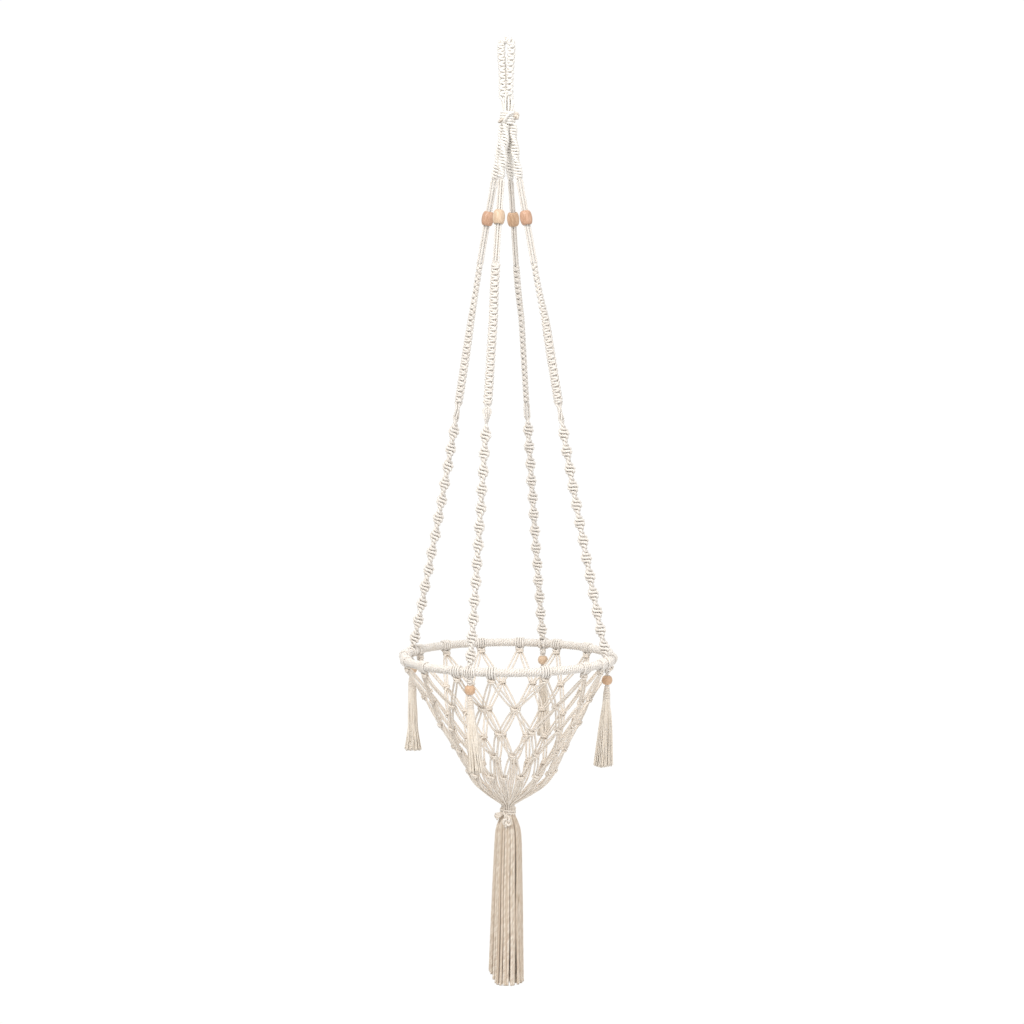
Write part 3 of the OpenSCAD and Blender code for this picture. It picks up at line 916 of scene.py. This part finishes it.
class Knot:
    """One knot of the net: its place, and directions across, out of and down the net."""

    def __init__(self, row, k):
        angle = (k + (0.5 if row % 2 == 0 else 1)) * STEP
        r, z = ROW_SIZES[row]
        below, above = ROW_SIZES[min(row + 1, NET_ROWS - 1)], ROW_SIZES[max(row - 1, 0)]
        loose = ROW_STRAYS[row]
        flat = np.array([math.cos(angle), math.sin(angle), 0.0])
        shift = ROW_SHIFTS[row] * (flat @ camera_right) * (1 if flat @ camera_right > 0 else 0.6)
        slid = SLIDES[row][k - FACING] if k >= FACING else NET_TURN
        angle += math.radians(slid)
        if k >= FACING:
            loose *= 0.3
        angle += rng.uniform(-loose, loose) / r
        r += rng.uniform(-loose, loose) * 0.5 + shift
        z += rng.uniform(-loose, loose) * 0.9 - ROW_DROPS[row]
        flat = np.array([math.cos(angle), math.sin(angle), 0.0])
        self.place = flat * r + UP * z
        down = flat * (below[0] - above[0]) + UP * (below[1] - above[1])
        if row == 0:
            down = -UP * 3 - flat
        self.down = down / np.linalg.norm(down)
        out = flat - self.down * (flat @ self.down)
        self.out = out / np.linalg.norm(out)
        self.angle = angle
        tilt = rng.uniform(-0.14, 0.14) if row else 0.0
        across = np.cross(self.out, self.down)
        self.line = Line(self.place, self.down * math.cos(tilt) + across * math.sin(tilt), self.out)


ROW_SIZES = [row_size(row) for row in range(NET_ROWS)]


def knot_points(knot, position):
    """The points of one cord through a knot; position runs 0 to 3 from one side to the other."""
    middle_r, worker_r = 1.2, 1.5
    pair = half_knots(2, KNOT_PITCH, 3.4, 2.5, worker_r)
    tall = 2 * KNOT_PITCH
    if position in (1, 2):
        u = (position - 1.5) * 2.3
        return [knot.line.at(u, 0, w, middle_r) for w in (-tall * 0.6, 0, tall * 0.6)]
    which = 0 if position == 0 else 1
    return [knot.line.at(*p) for p in shifted(pair[which], -tall / 2)]


def run_points(knot, below, side, inner):
    """Two points where a pair of cords runs side by side from one knot to the next on that side."""
    start = knot.place + knot.down * 3.4 + knot.line.across * side * 2.4
    end = below.place - below.down * 3.4 - below.line.across * side * 2.4
    run = (end - start) / np.linalg.norm(end - start)
    beside_run = np.cross(knot.out + below.out, run)
    beside_run /= np.linalg.norm(beside_run)
    apart, radius = 4.1, 1.25
    offset = beside_run * (inner - 0.5) * apart
    sag = (knot.out + below.out) * 0.4
    return [(*(start + (end - start) * f + offset + sag), radius) for f in (0.25, 0.75)]


def lark_head(angle, slot_index):
    """One end of a folded cord over the ring: from the bight inside the ring, round it and through."""
    outward = np.array([math.cos(angle), math.sin(angle), 0.0])
    wire = outward * ring_r + UP * ring_z
    r, apart = ring_half + 0.8, 2.9
    shift = (slot_index - 1.5) * apart
    bight = shift + (apart / 2 if slot_index % 2 == 0 else -apart / 2)
    turns = [(-28, bight, 2.3), (-8, (shift + bight) / 2, 1.6), (25, shift, 0.3), (70, shift, 0),
             (120, shift, 0), (170, shift, 0), (220, shift, 0), (270, shift, 0), (312, shift * 0.95, 0),
             (345, shift * 0.85, 0.1)]
    points = []
    for degrees, along, lift in turns:
        points += around_ring(wire, outward, [(degrees, along)], r + lift, 1.35)
    return points


def make_net():
    knots = [[Knot(row, k) for k in range(COLUMNS)] for row in range(NET_ROWS)]
    layer_r, tie_top = (7.2, 5.2), basket_tie[2]
    for k in range(COLUMNS):
        name = f"net_cords_{k + 1:02d}"
        for position in range(4):
            head, points = lark_head(knots[0][k].angle, position), []
            column, place = k, position
            for row in range(NET_ROWS):
                knot = knots[row][column]
                points += knot_points(knot, place)
                if row == NET_ROWS - 1:
                    break
                goes_left = place < 2
                if row % 2 == 0:
                    column = (column - 1) % COLUMNS if goes_left else column
                else:
                    column = column if goes_left else (column + 1) % COLUMNS
                points += run_points(knot, knots[row + 1][column], -1 if goes_left else 1, place % 2)
                place = place + 2 if goes_left else place - 2
            last = knots[-1][column]
            outer = place in (0, 3)
            spread_angle = last.angle + (place - 1.5) * STEP * 0.25
            start = last.place + last.down * 6
            for f, pinch in ((0.25, 0.2), (0.5, 0.5), (0.72, 0.75), (0.9, 0.93), (1.0, 1.0), (1.12, 1.0)):
                r = np.linalg.norm(start[:2]) * (1 - pinch) + layer_r[0 if outer else 1] * pinch
                z = start[2] + (tie_top + 7 - start[2]) * f
                r += 5.5 * math.sin(math.pi * min(1, f)) * (1 if outer else 0.7)
                a = last.angle + (spread_angle - last.angle) * min(1, 0.35 + f)
                points.append((r * math.cos(a), r * math.sin(a), z, 1.25 - 0.3 * min(1, f) ** 2))
            points.append((*(np.array(points[-1][:3]) - UP * 9), 0.9))
            strand([("net_lark_head_cords", head), (name, points)], spacing=1.35)
        piece = meshes.make(name, IVORY)
        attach(piece, "hanger")
        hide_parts("net_gather_strands", *[f"net_knots_row_{r + 1}" for r in range(NET_ROWS)],
                    *[f"net_cords_row_{r + 1}" for r in range(NET_ROWS - 1)])
    piece = meshes.make("net_lark_head_cords", PALE)
    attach(piece, "hanger")
    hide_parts("net_lark_heads")


# ---------------------------------------------------------------- basket tie and tail

def make_basket_tie():
    at = beside(basket_tie)
    r, wide, turns, pitch = 1.6, 8.1, 2, 3.0
    coil = [(*(basket_tie + [wide * math.cos(a), wide * math.sin(a), 3.2 - a * pitch / (2 * math.pi)]), r)
            for a in np.linspace(0.3, turns * 2 * math.pi + 0.6, turns * 14)]
    strand([("basket_tie_wraps", coil)], tint=0.1)
    piece = meshes.make("basket_tie_wraps", IVORY)
    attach(piece, "hanger")
    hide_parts("basket_tie")

    knot_x, knot_front, knot_up = -1.2, 15.2, -9.0
    knot = [(-5.5, 9.4, 1.0), (-4.2, 11.4, -2.2)]
    for t in np.linspace(0, 2 * math.pi, 19):
        swing = 3.0 + 1.5 * math.cos(3 * t)
        knot.append((knot_x + swing * math.sin(2 * t), knot_front + 1.7 * math.sin(3 * t),
                     knot_up + 1.35 * swing * math.cos(2 * t)))
    knot += [(knot_x - 1.0, knot_front - 0.6, knot_up - 5.0), (knot_x - 1.4, knot_front - 0.4, knot_up - 8.0)]
    strand([("basket_tie_knot_cord", [(*at(*p), 1.6) for p in knot])], tint=0.0)
    for i in range(4):
        drop, reach = 1.9 * i, (14.6, 15.6, 14.6, 12.6)[i]
        end = [(-5.5, 8.0, -1.0 - 0.5 * i), (-9.5, 8.6, -1.4 - 0.7 * drop), (-12.2, 8.0, -2.0 - drop),
               (-reach, 6.8, -2.6 - 1.15 * drop)]
        strand([("basket_tie_knot_cord", [(*at(*p), 1.35) for p in end])], tint=0.5)
    piece = meshes.make("basket_tie_knot_cord", IVORY)
    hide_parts("basket_tie_knot")
    tuple(at(0, 0, 0) * MM)
    tuple(at(0, 0, -12) * MM)
    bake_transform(piece)


TAIL_CORDS = 64
DECLARED = 40


def tail_points(i):
    """The route of tail cord i, from inside the tie to its cut end. The last ones form the outer layer."""
    inner = TAIL_CORDS - DECLARED
    if i < inner:
        f, a = 0.87 * math.sqrt((i + 0.5) / inner), i * math.pi * (3 - math.sqrt(5))
    else:
        f = rng.uniform(0.93, 1.0)
        a = 2 * math.pi * (i - inner + rng.uniform(-0.3, 0.3)) / DECLARED
    flat = np.array([math.cos(a), math.sin(a), 0.0])
    side = np.array([-math.sin(a), math.cos(a), 0.0])
    foot = f * (tail_r - CORD_R)
    x = foot * (flat @ camera_right)
    # The cut slants up at the picture's left.
    slant = max(0.0, -x - 11) * 1.7
    bottom = tail_low + 0.3 + rng.uniform(0, 0.8) + slant
    top, sway = basket_tie[2] + 1.5, rng.uniform(-0.9, 0.9)
    curl, phase = rng.uniform(0.15, 0.6), rng.uniform(0, 2 * math.pi)
    shape = ((0, 7.0, 0.95), (4, 7.2, 0.98), (9, 8.6, 1.05), (16, 11.4, 1.3), (25, 13.8, 1.45),
             (38, 14.8, 1.55))
    points = []
    for down, r, radius in shape:
        points.append((*(basket_tie * [1, 1, 0] + flat * r * f + [0, 0, top - down]), radius))
    waist = shape[-1][1] * f
    for g in np.linspace(0.12, 1.0, 9):
        r = waist + (foot - waist) * g ** 0.9
        wave = curl * math.sin(7.5 * g + phase) * min(1, 3 * g)
        z = top - 38 + (bottom - top + 38) * g
        lean = -2.2 * g * camera_right
        place = basket_tie * [1, 1, 0] + flat * (r + 0.4 * wave) + side * (sway * g + wave) + lean + UP * z
        points.append((*place, 1.6 + 0.12 * g))
    return points


def make_tail():
    """Sixty-four cord ends. The outer ones are pieces of their own, and the inner ones are one piece."""
    inner = TAIL_CORDS - DECLARED
    for i in range(TAIL_CORDS):
        name = "tail_inner_cords" if i < inner else f"tail_cord_{i - inner + 1:02d}"
        fine = strand([(name, tail_points(i))], spacing=1.5, depth=0.1, tint=rng.random() ** 1.6)
        if i < inner:
            continue
        piece = meshes.make(name, OATMEAL)
        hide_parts("tail_cords")
        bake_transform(piece)
    piece = meshes.make("tail_inner_cords", OATMEAL)
    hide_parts("tail_cords")
    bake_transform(piece)


make_tail()
make_loop()
make_top_tie()
for n in ARMS:
    make_arm(n)
    make_tassel(n)
    make_bead(f"upper_bead_{n}", joint(f"upper_bead_{n}_slide")["axis"], snug=0.0, shift=BOWS[n][0])
    make_bead(f"lower_bead_{n}", UP, snug=0.7)
make_ring()
make_net()
make_basket_tie()
